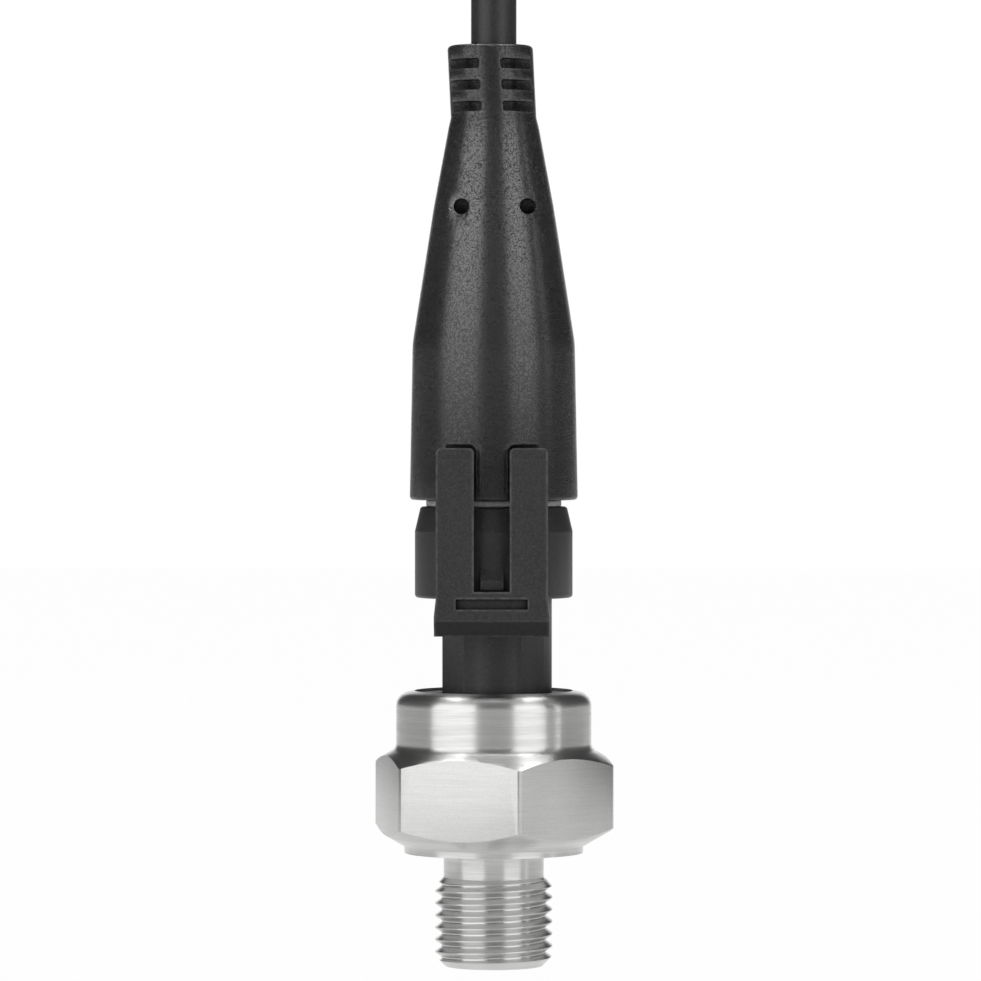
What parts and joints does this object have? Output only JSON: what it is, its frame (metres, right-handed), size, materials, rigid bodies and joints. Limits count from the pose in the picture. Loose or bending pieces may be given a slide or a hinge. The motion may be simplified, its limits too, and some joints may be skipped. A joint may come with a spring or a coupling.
{
  "type": "pressure transmitter",
  "caption": "Stainless steel hexagon-bodied pressure transmitter with a threaded process connection, a latched plug-in connector, a moulded cable boot and a coiled lead with flying ends.",
  "frame": {"origin": "centre of the flat sealing face under the hexagon", "axes": "+Z along the axis from the thread towards the cable, -Y towards the lock lever"},
  "size_m": [0.0264, 0.0878, 0.1629],
  "materials": {
    "stainless_steel": "turned and fine brushed",
    "socket_plastic": "matt moulded, fine sparks",
    "lever_plastic": "matt moulded, fine sparks",
    "boot_vinyl": "semi-gloss leather grain",
    "cable_jacket": "satin extruded jacket",
    "seal_rubber": "smooth",
    "grey_silicone": "matt",
    "white_ceramic": "fired, matt",
    "inner_plastic": "moulded",
    "green_board": "solder mask",
    "chip_black": "moulded",
    "tinned_brass": "tin plated",
    "red_vinyl": "extruded",
    "black_vinyl": "extruded",
    "green_vinyl": "extruded",
    "tie_nylon": "moulded"
  },
  "bodies": {
    "sensor": {"steel_body": "stainless_steel", "cell_seal": "seal_rubber", "pressure_cell": "white_ceramic", "cell_pins": "tinned_brass", "spacer_ring": "inner_plastic", "circuit_board": "green_board", "signal_chip": "chip_black", "board_capacitors": "inner_plastic", "base_o_ring": "seal_rubber", "connector_base": "socket_plastic", "contact_pin_1": "tinned_brass", "contact_pin_2": "tinned_brass", "contact_pin_3": "tinned_brass"},
    "plug": {"plug_insert": "lever_plastic", "nose_seal": "grey_silicone", "socket_contact_1": "tinned_brass", "socket_contact_2": "tinned_brass", "socket_contact_3": "tinned_brass", "core_red": "red_vinyl", "core_black": "black_vinyl", "core_green": "green_vinyl", "cable_boot": "boot_vinyl", "cable": "cable_jacket", "cable_hank": "cable_jacket", "hank_tie_front": "tie_nylon", "hank_tie_rear": "tie_nylon", "lead_red": "red_vinyl", "lead_black": "black_vinyl", "lead_green": "green_vinyl", "lead_tips": "tinned_brass"},
    "lever": {"lock_lever": "lever_plastic"}
  },
  "joints": [
    {"name": "plug_slide", "type": "slide", "parent": "sensor", "child": "plug", "axis": [0, 0, 1], "range_m": [0, 0.008]},
    {"name": "lever_rock", "type": "hinge", "parent": "plug", "child": "lever", "pos_m": [0, -0.0081, 0.0398], "axis": [-1, 0, 0], "range_deg": [0, 12]}
  ],
  "couplings": [
    {"joint": "lever_rock", "follows": "plug_slide", "rad_per_m": 26.17}
  ]
}
